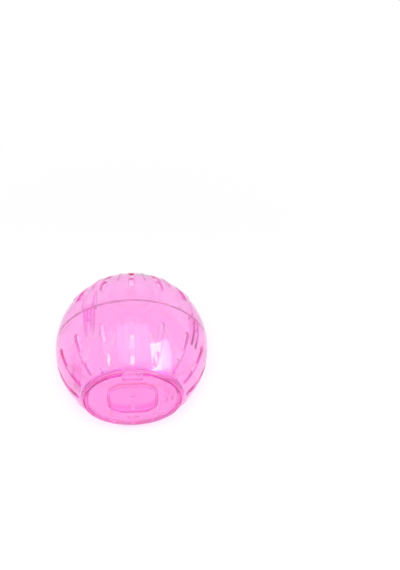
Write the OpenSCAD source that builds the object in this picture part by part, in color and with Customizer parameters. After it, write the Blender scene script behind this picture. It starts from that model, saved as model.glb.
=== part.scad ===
// Hamster exercise ball: two half shells that push together, and a round door that hooks in.
// The origin is the centre of the ball. The ball's axis lies along Y, with the door at -Y.
// Azimuths run round the axis from +Z towards +X, and latitudes from the seam towards a pole.

/* [Ball] */
// Outer diameter of the ball
ball_d = 120; // [100:1:180]
// Wall thickness of both half shells
wall_t = 1.8; // [1.5:0.1:2.6]
// Gap between the rims of the two half shells
seam_gap = 0.3; // [0.2:0.05:0.5]
// Height of the thin lip that centres the closed half
lip_h = 1.5; // [1:0.1:2.5]
// Thickness of the lip
lip_t = 0.7; // [0.5:0.05:0.8]
// Clearance round the lip
lip_gap = 0.25; // [0.2:0.05:0.3]
// Bevel on the outer edge of each rim
rim_bevel = 0.25; // [0.1:0.05:0.4]

/* [Air slots] */
// Number of meridians with air slots
slot_count = 16; // [12:4:20]
// Width of the shallow groove round each pair of openings
groove_w = 4.6; // [3.8:0.1:5.4]
// Depth of the groove
groove_depth = 0.55; // [0.3:0.05:0.8]
// Width of the openings in the groove
vent_w = 3.2; // [2.4:0.1:3.6]
// Flat ledge left between an opening's end and the groove's end
vent_margin = 0.7; // [0.4:0.1:1.2]
// Distance from the seam's plane to the grooves
seam_to_groove = 15.3; // [12:0.1:18]
// Distance from the grooves to the rounded rim of the doorway
groove_to_rim = 3.2; // [1.5:0.1:6]
// Place of the bridge between the two openings, as a share of the groove's length from the seam
bridge_share = 0.545; // [0.45:0.005:0.65]
// Width of the bridge between the two openings
bridge_w = 7.4; // [3:0.2:9]

/* [Seam clasps] */
// Number of clasps, set midway between air slots
clasp_count = 4; // [2:2:4]
// Width of a tongue
tongue_w = 8; // [6:0.2:9]
// Thickness of a tongue
tongue_t = 1.3; // [1:0.1:2]
// How far a tongue reaches past the seam
tongue_reach = 5.8; // [4:0.2:8]
// How far a tongue's root runs along its own shell
tongue_root = 8; // [5:0.5:12]
// Width of the two fins on a tongue
fin_w = 2.4; // [1.6:0.1:2.8]
// Latitude at which the fins and guide ribs run out into the wall
fin_span = 21; // [18:0.5:24]
// Thickness of the guide ribs on both sides of a tongue
guide_w = 1; // [0.8:0.1:1.6]
// Clearance between a tongue and what guides it
clasp_gap = 0.3; // [0.2:0.05:0.4]

/* [Doorway] */
// Diameter of the doorway
doorway_d = 72.4; // [60:0.2:76]
// Wall thickness of the collar inside the doorway
collar_t = 1.6; // [1.2:0.1:2.4]
// How far the collar stands inside the shell's inner wall
collar_drop = 2.2; // [1.5:0.1:4]
// Radius of the rounded rim round the doorway
rim_bead_r = 1; // [0.6:0.1:1.4]
// Width of the ledge that the door seats on
seat_w = 1; // [0.7:0.1:1.6]
// Thickness of the ledge
seat_t = 1.4; // [1:0.1:2]
// Thickness of the gussets that stiffen the collar
gusset_t = 1.2; // [0.8:0.1:2]
// How far the gussets reach out from the collar
gusset_reach = 3.5; // [2:0.1:5]

/* [Door] */
// Clearance all round the door in its doorway
door_gap = 0.35; // [0.25:0.05:0.5]
// Gap between the door's skirt and its ledge
seat_gap = 0.3; // [0.2:0.05:0.4]
// Thickness of the door's plate
door_t = 1.8; // [1.4:0.1:2.6]
// Thickness of the door's skirt
skirt_t = 1.5; // [1.2:0.1:2]
// Height of the door's face over the edge of the doorway
face_rise = 0.45; // [0.2:0.05:0.8]
// Height of the flat-topped bead round the door's face
bead_h = 0.7; // [0.4:0.1:1.2]
// Width of that bead
bead_w = 1.9; // [1.6:0.1:2.6]
// Rounding of the bead's edges
bead_round = 0.5; // [0.3:0.05:0.7]
// Width and height of the square finger recess
recess_w = 34.6; // [26:0.2:38]
// Corner radius of the recess
recess_round = 11; // [6:0.5:12.5]
// Depth of the recess
recess_depth = 3.2; // [2:0.1:4]
// Wall thickness round the recess
recess_wall = 1.6; // [1.2:0.1:2.4]
// Radius of the small pip in the middle of the recess
pip_r = 1.5; // [1:0.1:2.5]
// Height of the pip
pip_h = 0.4; // [0.2:0.1:0.8]

/* [Latch tab and hook] */
// Width of the latch tab
tab_w = 12.8; // [10:0.2:16]
// How far the tab reaches over the rim of the doorway
tab_reach = 2.3; // [1.5:0.1:3]
// Length of the springy part of the tab, inside the door's edge
tab_spring = 7.3; // [5:0.1:9]
// Thickness of the tab's tip
tab_t = 1.2; // [0.9:0.1:1.6]
// Corner radius of the tab's tip
tab_round = 1.5; // [0.8:0.1:2.2]
// Width of the slits on both sides of the tab
slit_w = 0.9; // [0.6:0.1:1.4]
// Width of the thin line at which the tab bends
bend_w = 1.1; // [0.8:0.1:1.6]
// Depth of that line
bend_depth = 0.6; // [0.3:0.1:0.9]
// Clearance between the tab and its notch in the rim
notch_gap = 0.3; // [0.25:0.05:0.4]
// Depth of the notch under the edge of the doorway
notch_depth = 0.55; // [0.3:0.05:0.8]
// Width of the hook opposite the tab
hook_w = 10.4; // [8:0.2:13]
// Thickness of the hook's toe
hook_t = 1.3; // [1:0.1:1.8]
// How far the toe reaches under the collar
hook_reach = 2; // [1.2:0.1:2.4]
// Corner radius of the toe
hook_round = 2.2; // [1:0.1:2.6]
// Gap between the toe and the collar
hook_gap = 0.3; // [0.2:0.05:0.4]

/* [Closed pole] */
// Radius of the inner ring round the closed pole
pole_ring_r = 17.2; // [12:0.2:18]
// Distance between the two rings
pole_ring_step = 2.4; // [1.8:0.1:3]
// Width of the raised lines
line_w = 1.1; // [0.8:0.1:1.6]
// Height of the raised lines over the ball
line_rise = 0.4; // [0.2:0.05:0.6]
// Angle between the pole and the middle of each U-shaped line
petal_tilt = 49; // [46:0.5:52]
// Latitude at which the arms of the U-shaped lines end
petal_end = 26; // [25:0.5:32]
// Radius of the boss on the closed pole
pole_boss_r = 4; // [3:0.1:6]
// Height of the boss
pole_boss_h = 0.5; // [0.3:0.1:0.8]
// Radius of the nub on the boss
nub_r = 1.6; // [1:0.1:2.4]
// Height of the nub over the boss
nub_h = 0.5; // [0.3:0.1:1]

/* [Hidden] */
$fn = 128;

shell_colour = [0.99, 0.47, 0.80, 0.55];
door_colour = [0.99, 0.40, 0.76, 0.6];

over = wall_t / 2;
ball_r = ball_d / 2;
inner_r = ball_r - wall_t;
bite = wall_t / 4;
reach_r = ball_r + wall_t;
rim_y = seam_gap / 2;

doorway_r = doorway_d / 2;
rim_h = sqrt(ball_r * ball_r - doorway_r * doorway_r);
bead_mid_r = doorway_r + rim_bead_r;
bead_mid_h = sqrt(ball_r * ball_r - bead_mid_r * bead_mid_r);

slot_step = 360 / slot_count;
groove_start = asin(seam_to_groove / ball_r);
groove_end = acos((bead_mid_r + rim_bead_r) / ball_r) - asin(groove_to_rim / ball_r);
groove_mid = (groove_start + groove_end) / 2;
groove_len = 2 * ball_r * sin((groove_end - groove_start) / 2);
groove_base = inner_r * cos((groove_end - groove_start) / 2);
margin_deg = asin(vent_margin / ball_r);
bridge_mid = groove_start + bridge_share * (groove_end - groove_start);
bridge_deg = asin(bridge_w / 2 / ball_r);
low_vent = [groove_start + margin_deg, bridge_mid - bridge_deg];
high_vent = [bridge_mid + bridge_deg, groove_end - margin_deg];

clasp_step = 360 / clasp_count;
clasp_az = -1.5 * slot_step;
tongue_out = inner_r - clasp_gap;
fin_chord = inner_r * cos(fin_span);
fin_mid = (tongue_w - fin_w) / 2;
guide_mid = tongue_w / 2 + clasp_gap + guide_w / 2;
guide_start = lip_h + lip_gap;

collar_r = doorway_r + collar_t;
collar_end = sqrt(inner_r * inner_r - collar_r * collar_r) - collar_drop;
seat_r = doorway_r - seat_w;
seat_top = collar_end + seat_t;

door_r = doorway_r - door_gap;
face_h = rim_h + face_rise;
plate_low = face_h - door_t;
skirt_end = seat_top + seat_gap;
recess_floor = face_h - recess_depth;

tab_root = door_r - tab_spring;
tab_tip = doorway_r + tab_reach;
notch_floor = rim_h - notch_depth;
notch_w = tab_w + 2 * slit_w;
notch_reach = tab_tip + slit_w;
tab_low = notch_floor + notch_gap;
toe_top = collar_end - hook_gap;
toe_low = toe_top - hook_t;
toe_tip = doorway_r + hook_reach;
hook_root = door_r - skirt_t;
hook_notch_w = hook_w + 2 * hook_gap;

petal_az = 1.5 * slot_step;
petal_rho = asin(sin(petal_tilt) * sin(petal_az));
petal_r = ball_r * sin(petal_rho);
petal_turn = asin(tan(petal_rho) / tan(petal_tilt));
arm_start = ball_r * sin(acos(cos(petal_tilt) / cos(petal_rho)));
arm_end = ball_r * cos(petal_end);

// Turns a shape whose pole is at +Z so that its pole is the door's.
module door_side() {
    rotate([90, 0, 0]) children();
}

// Turns a shape whose pole is at +Z so that its pole is the closed one.
module closed_side() {
    mirror([0, 1, 0]) door_side() children();
}

// Puts +Z of a shape on the ball at a latitude and azimuth, with -Y towards the pole.
module at_place(lat, az) {
    rotate([0, 0, -az]) rotate([lat - 90, 0, 0]) children();
}

// Flat outline with round ends, along Y.
module stadium(len, w) {
    square([w, len - w], center = true);
    for (side = [-1, 1]) translate([0, side * (len - w) / 2]) circle(d = w);
}

// Square with round corners.
module round_square(w, corner) {
    square([w, w - 2 * corner], center = true);
    square([w - 2 * corner, w], center = true);
    for (sx = [-1, 1], sy = [-1, 1])
        translate([sx * (w / 2 - corner), sy * (w / 2 - corner)]) circle(corner);
}

// Tab outline: straight root at y = 0, round corners at its tip.
module tab_outline(w, len, corner) {
    translate([-w / 2, 0]) square([w, len - corner]);
    translate([corner - w / 2, 0]) square([w - 2 * corner, len]);
    for (side = [-1, 1]) translate([side * (w / 2 - corner), len - corner]) circle(corner);
}

// Radial section of a half shell, from its rim to the pole.
module wall_section() {
    difference() {
        circle(ball_r);
        circle(inner_r);
        translate([-reach_r, -reach_r]) square([reach_r, 2 * reach_r]);
        translate([0, -reach_r]) square([reach_r, reach_r + rim_y]);
        polygon([[ball_r - rim_bevel, rim_y], [reach_r, rim_y], [reach_r, rim_y + wall_t],
            [ball_r, rim_y + rim_bevel]]);
    }
}

// Lip on the door shell's rim, which goes into the closed shell.
module lip_section() {
    difference() {
        translate([fin_chord, -lip_h]) square([inner_r + lip_t - fin_chord, lip_h + rim_y + over]);
        circle(inner_r);
    }
}

// Cut inside the closed shell's rim that takes the lip.
module lip_rebate() {
    rotate_extrude() translate([fin_chord, -over])
        square([inner_r + lip_t + lip_gap - fin_chord, over + lip_h + lip_gap]);
}

// Cutter for the groove and the two openings of every meridian.
module slot_cutter() {
    difference() {
        for (i = [0:slot_count - 1])
            at_place(groove_mid, i * slot_step) translate([0, 0, groove_base])
                linear_extrude(ball_r) stadium(groove_len, groove_w);
        sphere(ball_r - groove_depth);
    }
    for (i = [0:slot_count - 1], span = [low_vent, high_vent])
        at_place((span[0] + span[1]) / 2, i * slot_step) translate([0, 0, inner_r - wall_t])
            linear_extrude(3 * wall_t)
            stadium(2 * ball_r * sin((span[1] - span[0]) / 2), vent_w);
}

// Slabs through the ball's axis at the clasps, each as wide as given and moved aside by as much.
module clasp_slabs(w, aside = 0) {
    for (i = [1:clasp_count / 2]) rotate([0, 0, -clasp_az - i * clasp_step])
        translate([aside - w / 2, -reach_r, -reach_r]) cube([w, 2 * reach_r, 2 * reach_r]);
}

// Section of the tongues: joined to their own shell, and clear of the other one past the seam.
module tongue_section() {
    difference() {
        union() {
            intersection() {
                circle(inner_r + bite);
                translate([fin_chord, -lip_h]) square([reach_r, lip_h + tongue_root]);
            }
            intersection() {
                circle(tongue_out);
                translate([fin_chord, -tongue_reach]) square([reach_r, tongue_reach]);
            }
        }
        circle(tongue_out - tongue_t);
    }
}

// Section of the two fins on a tongue, which run out into the wall.
module fin_section() {
    intersection() {
        circle(inner_r + bite);
        translate([fin_chord, -lip_h]) square([reach_r, reach_r]);
    }
    intersection() {
        circle(tongue_out);
        polygon([[fin_chord, 0], [fin_chord, fin_w - tongue_reach], [tongue_out, -tongue_reach],
            [reach_r, -tongue_reach], [reach_r, 0]]);
    }
}

module seam_tongues() {
    intersection() {
        rotate_extrude() tongue_section();
        clasp_slabs(tongue_w);
    }
    intersection() {
        rotate_extrude() fin_section();
        for (side = [-1, 1]) clasp_slabs(fin_w, side * fin_mid);
    }
}

// Thin ribs inside the closed shell, one on each side of every tongue.
module guide_ribs() {
    intersection() {
        rotate_extrude() intersection() {
            circle(inner_r + bite);
            translate([fin_chord, guide_start]) square([reach_r, reach_r]);
        }
        for (side = [-1, 1]) clasp_slabs(guide_w, side * guide_mid);
    }
}

// Section of the doorway's collar, its rounded rim and the ledge for the door.
module doorway_section() {
    intersection() {
        circle(ball_r);
        translate([doorway_r, collar_end]) square([collar_t, ball_r]);
    }
    translate([bead_mid_r, bead_mid_h]) circle(rim_bead_r);
    translate([seat_r, collar_end]) square([seat_w + bite, seat_t]);
}

// Section of the gussets between the collar and the wall.
module gusset_section() {
    intersection() {
        circle(inner_r + bite);
        polygon([[collar_r - bite, collar_end], [collar_r, collar_end],
            [collar_r + gusset_reach, collar_end + collar_drop - gusset_reach],
            [collar_r + gusset_reach, rim_h], [collar_r - bite, rim_h]]);
    }
}

module door_shell() {
    color(shell_colour) door_side() difference() {
        union() {
            rotate_extrude() {
                difference() {
                    wall_section();
                    square([doorway_r, reach_r]);
                }
                lip_section();
                doorway_section();
            }
            seam_tongues();
            intersection() {
                rotate_extrude() gusset_section();
                clasp_slabs(gusset_t);
            }
        }
        slot_cutter();
        translate([-notch_w / 2, doorway_r / 2, notch_floor])
            cube([notch_w, notch_reach - doorway_r / 2, wall_t + rim_bead_r]);
        translate([-hook_notch_w / 2, -doorway_r, collar_end - over])
            intersection() {
                cube([hook_notch_w, seat_w + collar_t, seat_t + 2 * over]);
                translate([hook_notch_w / 2, doorway_r, 0]) cylinder(r = doorway_r, h = ball_r);
            }
    }
}

// Section through the ball's centre of what stands proud of it, with its root in the wall.
module relief_section(from_r, to_r) {
    intersection() {
        difference() {
            circle(ball_r + line_rise);
            circle(ball_r - over);
        }
        translate([from_r, 0]) square([to_r - from_r, reach_r]);
    }
}

// One U-shaped line of the rosette: a round bottom near the pole and two arms along meridians.
module petal_line() {
    at_place(90 - petal_tilt, 0) rotate([0, 0, 180 + petal_turn])
        rotate_extrude(angle = 180 - 2 * petal_turn)
        relief_section(petal_r - line_w / 2, petal_r + line_w / 2);
    for (side = [-1, 1]) rotate([90, 0, 90 + side * petal_az])
        linear_extrude(line_w, center = true) relief_section(arm_start, arm_end);
}

// Raised lines on the closed half: the rosette and the two rings round the pole.
module raised_lines() {
    for (i = [0:slot_count / 2 - 1]) rotate([0, 0, 2 * i * slot_step]) petal_line();
    rotate_extrude() for (r = [pole_ring_r, pole_ring_r + pole_ring_step])
        relief_section(r - line_w / 2, r + line_w / 2);
}

module closed_shell() {
    color(shell_colour) closed_side() {
        difference() {
            union() {
                rotate_extrude() wall_section();
                guide_ribs();
                raised_lines();
                translate([0, 0, ball_r - over]) cylinder(r = pole_boss_r, h = over + pole_boss_h);
                translate([0, 0, ball_r - over]) cylinder(r = nub_r, h = over + pole_boss_h + nub_h);
            }
            lip_rebate();
            slot_cutter();
        }
    }
}

// Section of the door's plate, skirt and flat-topped bead.
module door_section() {
    translate([0, plate_low]) square([door_r, door_t]);
    translate([door_r - skirt_t, skirt_end]) square([skirt_t, face_h - skirt_end]);
    translate([door_r - bead_w, plate_low]) square([bead_w, face_h - plate_low + bead_h - bead_round]);
    translate([door_r - bead_w + bead_round, plate_low])
        square([bead_w - 2 * bead_round, face_h - plate_low + bead_h]);
    for (r = [door_r - bead_round, door_r - bead_w + bead_round])
        translate([r, face_h + bead_h - bead_round]) circle(bead_round);
}

module door() {
    color(door_colour) door_side() {
        difference() {
            union() {
                rotate_extrude() door_section();
                translate([0, 0, recess_floor - door_t]) linear_extrude(recess_depth)
                    round_square(recess_w + 2 * recess_wall, recess_round + recess_wall);
            }
            translate([0, 0, recess_floor]) linear_extrude(recess_depth + over)
                round_square(recess_w, recess_round);
            for (side = [-1, 1]) translate([side * (tab_w + slit_w) / 2, tab_root, skirt_end - over]) {
                translate([-slit_w / 2, 0, 0]) cube([slit_w, ball_r, ball_r]);
                cylinder(d = slit_w, h = ball_r);
            }
            translate([-tab_w / 2, tab_root - bend_w / 2, face_h - bend_depth])
                cube([tab_w, bend_w, door_t]);
        }
        translate([0, 0, recess_floor - bite]) cylinder(r = pip_r, h = bite + pip_h);
        translate([0, door_r - skirt_t, tab_low]) linear_extrude(tab_t)
            tab_outline(tab_w, tab_tip - door_r + skirt_t, tab_round);
        difference() {
            translate([0, -hook_root, toe_low]) mirror([0, 1, 0]) linear_extrude(face_h - toe_low - over)
                tab_outline(hook_w, toe_tip - hook_root, hook_round);
            translate([0, 0, toe_top]) difference() {
                cylinder(r = ball_r, h = ball_r);
                cylinder(r = door_r, h = ball_r);
            }
        }
    }
}

door_shell();
closed_shell();
door();
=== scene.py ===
"""Builds the hamster ball's two slotted half shells and its round door, on a pale floor under soft lamps."""

from math import acos, asin, atan2, cos, log, pi, radians, sin, sqrt, tan, tau
from types import SimpleNamespace

import bmesh
import bpy
import numpy as np
from bpy.props import FloatProperty, FloatVectorProperty, IntProperty, PointerProperty
from bpy.types import Node, Operator, Panel, PropertyGroup
from mathutils import Matrix, Vector
from mathutils.geometry import delaunay_2d_cdt


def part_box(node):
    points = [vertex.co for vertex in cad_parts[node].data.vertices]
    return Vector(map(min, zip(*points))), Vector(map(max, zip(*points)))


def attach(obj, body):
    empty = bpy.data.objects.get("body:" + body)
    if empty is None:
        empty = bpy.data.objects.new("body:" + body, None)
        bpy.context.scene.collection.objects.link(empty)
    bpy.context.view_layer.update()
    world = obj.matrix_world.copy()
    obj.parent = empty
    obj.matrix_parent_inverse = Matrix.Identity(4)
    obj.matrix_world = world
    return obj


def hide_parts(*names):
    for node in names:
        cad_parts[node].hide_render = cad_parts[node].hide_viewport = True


bl_info = {
    "name": "Hamster ball",
    "version": (1, 0, 0),
    "blender": (4, 5, 0),
    "location": "3D View > Sidebar > Hamster ball",
    "description": "Builds a clear pink hamster ball and lights it",
    "category": "Object",
}

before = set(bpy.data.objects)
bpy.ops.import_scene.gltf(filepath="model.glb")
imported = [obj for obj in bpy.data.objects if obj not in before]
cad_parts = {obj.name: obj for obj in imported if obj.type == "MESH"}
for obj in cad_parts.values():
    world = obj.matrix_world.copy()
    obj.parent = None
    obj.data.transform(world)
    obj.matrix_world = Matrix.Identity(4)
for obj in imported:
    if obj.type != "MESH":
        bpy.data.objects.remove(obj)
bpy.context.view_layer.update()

MM = 0.001
BALL_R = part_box("door_shell")[1].x

# How fine the meshes are: points closer than JOIN are one, and a sphere's facets are about FACET wide
JOIN = 0.001 * MM
FACET = 2.4 * MM
FILLET_STEPS = 4
BEAD_STEPS = 14
SLAB_STEPS = 6
RIB_STEPS = 2
SHARE_STEPS = 12
ARM_STEPS = 12
BEND_STEPS = 36
PIP_STEPS = 48
RING_STEPS = 128
DOOR_STEPS = 192

# How far the sides of a joined solid lie within its neighbour's, so that no two faces share a plane
INSET = 0.02 * MM

# Latitudes between which the slotted part of a shell's outer face and of its inner face lies
OUTER_SPAN = (radians(0.5), radians(49.5))
INNER_SPAN = (radians(1.9), radians(48.5))

# Angle at which the round on the doorway's rim starts
BEAD_START = radians(-20)

# Pieces are built with their pole at +Z and are then turned to the frame's axis
DOOR_SIDE = Matrix.Rotation(pi / 2, 4, "X")
CLOSED_SIDE = Matrix.Scale(-1, 4, (0, 1, 0)) @ DOOR_SIDE
HALF_TURN = Matrix.Rotation(pi, 4, "Z")

# Edges sharper than this stay sharp, and faces within this of the sphere's own direction lie on it
SHARP_ANGLE = radians(38)
SPHERE_ANGLE = radians(25)

# The slight waves in the plastic's surface, and its patches that are less or more rough than the setting
WAVE_WIDTH = 9 * MM
WAVE_DEPTH = 0.2 * MM
PATCH_WIDTH = 14 * MM
PATCH_LEAST = 0.6
PATCH_MOST = 1.8

# Rays that show the floor and the room as white, and the faces that a ray passes in the near wall
SEEING_RAYS = ("Is Camera Ray", "Is Transmission Ray", "Is Glossy Ray")
NEAR_WALL_FACES = 2

# The window's brightness at its left and right, and its turn about the direction in which it shines
WINDOW_LEFT = 1.0
WINDOW_RIGHT = 0.3
WINDOW_TURN = radians(-25)

# Share of the shadow's reach within which the floor's share of white is least
SHADOW_CORE = 0.3

# Sines of the angles over the horizon between which the room dims
DIM_START = 0.3
DIM_END = 0.7

FLOOR_SIZE = 6.0
SENSOR_WIDTH = 36
BOUNCES = 32


def linear(hex_colour):
    """Linear red, green and blue of an sRGB hex colour such as "ff80c0"."""
    parts = [int(hex_colour[i:i + 2], 16) / 255 for i in (0, 2, 4)]
    return [c / 12.92 if c <= 0.04045 else ((c + 0.055) / 1.055) ** 2.4 for c in parts]


def millimetres(name, description, size):
    """A size that the user can change, given in millimetres."""
    return FloatProperty(name=name, description=description, default=size * MM, min=0,
                         precision=5, unit="LENGTH", subtype="DISTANCE")


def degrees(name, description, angle):
    """An angle that the user can change, given in degrees."""
    return FloatProperty(name=name, description=description, default=radians(angle), subtype="ANGLE")


def factor(name, description, default):
    """A share between 0 and 1 that the user can change."""
    return FloatProperty(name=name, description=description, default=default, min=0, max=1,
                         precision=4, subtype="FACTOR")


def watts(name, description, default):
    """A lamp's power that the user can change."""
    return FloatProperty(name=name, description=description, default=default, min=0, unit="POWER")


def colour(name, description, hex_colour):
    """A colour that the user can change, given as sRGB hex."""
    return FloatVectorProperty(name=name, description=description, default=linear(hex_colour), size=3,
                               subtype="COLOR", min=0, max=1)


class ShellSettings(PropertyGroup):
    """The walls of the two half shells and their rims at the seam."""
    wall: millimetres("Wall", "Thickness of the shells", 1.8)
    seam_gap: millimetres("Seam gap", "Gap between the rims of the half shells", 0.3)
    lip_height: millimetres("Lip height", "Height of the lip that centres the closed half", 1.5)
    lip_thickness: millimetres("Lip thickness", "Thickness of the lip", 0.7)
    lip_gap: millimetres("Lip gap", "Clearance round the lip", 0.25)
    rim_round: millimetres("Rim rounding", "Rounding of the outer edge of each rim", 0.25)
    edge_round: millimetres("Edge rounding", "Rounding of the moulding's small edges", 0.15)


class SlotSettings(PropertyGroup):
    """The air slots: a shallow groove on every meridian, with two openings in it."""
    count: IntProperty(name="Meridians", description="Number of meridians with air slots", default=16, min=8)
    groove_width: millimetres("Groove width", "Width of the groove", 4.6)
    groove_depth: millimetres("Groove depth", "Depth of the groove", 0.55)
    groove_round: millimetres("Groove rounding", "Rounding of the groove's outer edge", 0.2)
    floor_round: millimetres("Floor rounding", "Rounding at the foot of the groove's side", 0.12)
    vent_width: millimetres("Opening width", "Width of the openings", 3.2)
    vent_margin: millimetres("Ledge", "Ledge between an opening's end and the groove's end", 0.7)
    vent_round: millimetres("Opening rounding", "Rounding of the openings' edges", 0.2)
    from_seam: millimetres("From the seam", "Distance from the seam's plane to the grooves", 15.3)
    to_rim: millimetres("To the rim", "Distance from the grooves to the doorway's rim", 3.2)
    bridge: millimetres("Bridge", "Width of the bridge between the two openings", 7.4)
    bridge_share: factor("Bridge place", "Place of the bridge along the groove", 0.545)


class ClaspSettings(PropertyGroup):
    """The four clasps inside the seam: tongues with fins, and the ribs that guide them."""
    count: IntProperty(name="Clasps", description="Number of clasps", default=4, min=2)
    tongue_width: millimetres("Tongue width", "Width of a tongue", 8)
    tongue_thickness: millimetres("Tongue thickness", "Thickness of a tongue", 1.3)
    tongue_reach: millimetres("Tongue reach", "How far a tongue reaches past the seam", 5.8)
    tongue_root: millimetres("Tongue root", "How far a tongue's root runs along its own shell", 8)
    fin_width: millimetres("Fin width", "Width of the two fins on a tongue", 2.4)
    fin_span: degrees("Fin span", "Latitude at which the fins and ribs run out into the wall", 21)
    guide_width: millimetres("Rib width", "Thickness of the guide ribs", 1)
    gap: millimetres("Clasp gap", "Clearance between a tongue and what guides it", 0.3)


class DoorwaySettings(PropertyGroup):
    """The doorway: its rounded rim, the collar inside it and the ledge for the door."""
    diameter: millimetres("Doorway", "Diameter of the doorway", 72.4)
    collar: millimetres("Collar", "Wall thickness of the collar", 1.6)
    collar_drop: millimetres("Collar drop", "How far the collar stands inside the shell", 2.2)
    rim_radius: millimetres("Rim radius", "Radius of the rounded rim", 1)
    seat_width: millimetres("Ledge width", "Width of the door's ledge", 1)
    seat_thickness: millimetres("Ledge thickness", "Thickness of the door's ledge", 1.4)
    gusset_thickness: millimetres("Gusset", "Thickness of the gussets at the collar", 1.2)
    gusset_reach: millimetres("Gusset reach", "How far the gussets reach out from the collar", 3.5)


class DoorSettings(PropertyGroup):
    """The round door, with its finger recess, latch tab and hook."""
    gap: millimetres("Door gap", "Clearance round the door", 0.35)
    seat_gap: millimetres("Ledge gap", "Gap between the door's skirt and its ledge", 0.3)
    plate: millimetres("Plate", "Thickness of the door's plate", 1.8)
    skirt: millimetres("Skirt", "Thickness of the door's skirt", 1.5)
    face_rise: millimetres("Face rise", "Height of the door's face over the doorway's edge", 0.45)
    bead_height: millimetres("Bead height", "Height of the bead round the face", 0.7)
    bead_width: millimetres("Bead width", "Width of that bead", 1.9)
    bead_round: millimetres("Bead rounding", "Rounding of that bead", 0.5)
    recess_width: millimetres("Recess width", "Width and height of the finger recess", 34.6)
    recess_corner: millimetres("Recess corner", "Corner radius of the recess", 11)
    recess_depth: millimetres("Recess depth", "Depth of the recess", 3.2)
    recess_wall: millimetres("Recess wall", "Wall thickness round the recess", 1.6)
    recess_round: millimetres("Recess rounding", "Rounding of the recess's edge and foot", 0.5)
    pip_radius: millimetres("Pip radius", "Radius of the pip in the recess", 1.5)
    pip_height: millimetres("Pip height", "Height of the pip", 0.4)
    tab_width: millimetres("Tab width", "Width of the latch tab", 12.8)
    tab_reach: millimetres("Tab reach", "How far the tab reaches over the rim", 2.3)
    tab_spring: millimetres("Tab spring", "Length of the springy part of the tab", 7.3)
    tab_thickness: millimetres("Tab thickness", "Thickness of the tab's tip", 1.2)
    tab_round: millimetres("Tab rounding", "Corner radius of the tab's tip", 1.5)
    slit: millimetres("Slit", "Width of the slits beside the tab", 0.9)
    bend_width: millimetres("Bend width", "Width of the thin line at which the tab bends", 1.1)
    bend_depth: millimetres("Bend depth", "Depth of that line", 0.6)
    notch_gap: millimetres("Notch gap", "Clearance between the tab and its notch", 0.3)
    notch_depth: millimetres("Notch depth", "Depth of the notch under the doorway's edge", 0.55)
    hook_width: millimetres("Hook width", "Width of the hook", 10.4)
    hook_thickness: millimetres("Hook thickness", "Thickness of the hook's toe", 1.3)
    hook_reach: millimetres("Hook reach", "How far the toe reaches under the collar", 2)
    hook_round: millimetres("Hook rounding", "Corner radius of the toe", 2.2)
    hook_gap: millimetres("Hook gap", "Gap between the toe and the collar", 0.3)
    edge_round: millimetres("Edge rounding", "Rounding of the tab's and hook's edges", 0.3)


class RosetteSettings(PropertyGroup):
    """The raised lines, boss and nub on the closed half."""
    ring_radius: millimetres("Ring radius", "Radius of the inner ring round the pole", 17.2)
    ring_step: millimetres("Ring step", "Distance between the two rings", 2.4)
    line_width: millimetres("Line width", "Width of the raised lines", 1.1)
    line_rise: millimetres("Line rise", "Height of the raised lines", 0.4)
    petal_tilt: degrees("Petal tilt", "Angle between the pole and the middle of a petal", 49)
    petal_end: degrees("Petal end", "Latitude at which a petal's arms end", 26)
    boss_radius: millimetres("Boss radius", "Radius of the boss on the pole", 4)
    boss_height: millimetres("Boss height", "Height of the boss", 0.5)
    nub_radius: millimetres("Nub radius", "Radius of the nub on the boss", 1.6)
    nub_height: millimetres("Nub height", "Height of the nub over the boss", 0.5)


class PlasticSettings(PropertyGroup):
    """The clear pink plastic of the shells and the door."""
    takes_red: factor("Takes red", "Share of red light taken by each millimetre of wall", 0.0005)
    takes_green: factor("Takes green", "Share of green light taken by each millimetre of wall", 0.165)
    takes_blue: factor("Takes blue", "Share of blue light taken by each millimetre of wall", 0.018)
    shell_tint: colour("Shell tint", "Tint that each of the shells' faces gives to light", "fffefc")
    # Deeper than the shells' tint: the door's own pink plus painted shade for the darker lower front of the
    # ball
    door_tint_and_shade: colour("Door tint", "Tint that each of the door's faces gives to light", "fff2f8")
    lamp_tint: colour("Lamp tint", "Tint that each face gives to the light in the ball's shadow", "ffedf8")
    clear: factor("Clear", "Share of the plastic that is clear, the rest being a little milky", 0.94)
    ior: FloatProperty(name="IOR", description="How strongly the plastic bends light",
                       default=1.55, min=1, max=2)
    roughness: factor("Roughness", "Roughness of the surface, which softens what lies far behind it", 0.08)


class StageSettings(PropertyGroup):
    """The camera, the lamps and the floor."""
    lens: FloatProperty(name="Lens", description="Focal length of the camera",
                        default=44.2, min=1, unit="CAMERA")
    distance: millimetres("Distance", "From the camera to the ball's centre", 564)
    azimuth: degrees("Azimuth", "Where the camera stands round the ball, from the door's side", 0.19)
    elevation: degrees("Elevation", "How high the camera stands over the ball's centre", 54.64)
    heading: degrees("Heading", "Where the camera looks, turned right from +Y", 8.41)
    pitch: degrees("Pitch", "How far down the camera looks", 49.27)
    roll: degrees("Roll", "How far the camera is turned about its own view", 5.70)
    window: watts("Window lamp", "Power of the softbox at the right", 6.0)
    key: watts("Key lamp", "Power of the softbox over the camera", 11.5)
    sky: watts("Sky lamp", "Power of the wide softbox that shows on the ball's middle", 6.5)
    room: factor("Room light", "How strongly the room lights matt surfaces", 0.5)
    ceiling: factor("Ceiling", "How bright the room overhead shows in the plastic", 0.55)
    white_share: factor("White share", "Share of plain white in the floor by the ball, seen through it", 0.12)
    camera_share: factor("White share for the camera", "The same share, where nothing hides the floor", 0.45)
    shadow_reach: millimetres("Shadow reach", "How far from the ball's centre the floor dims", 360)
    floor_colour: colour("Floor colour", "Colour of the matt floor", "ffffff")


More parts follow.
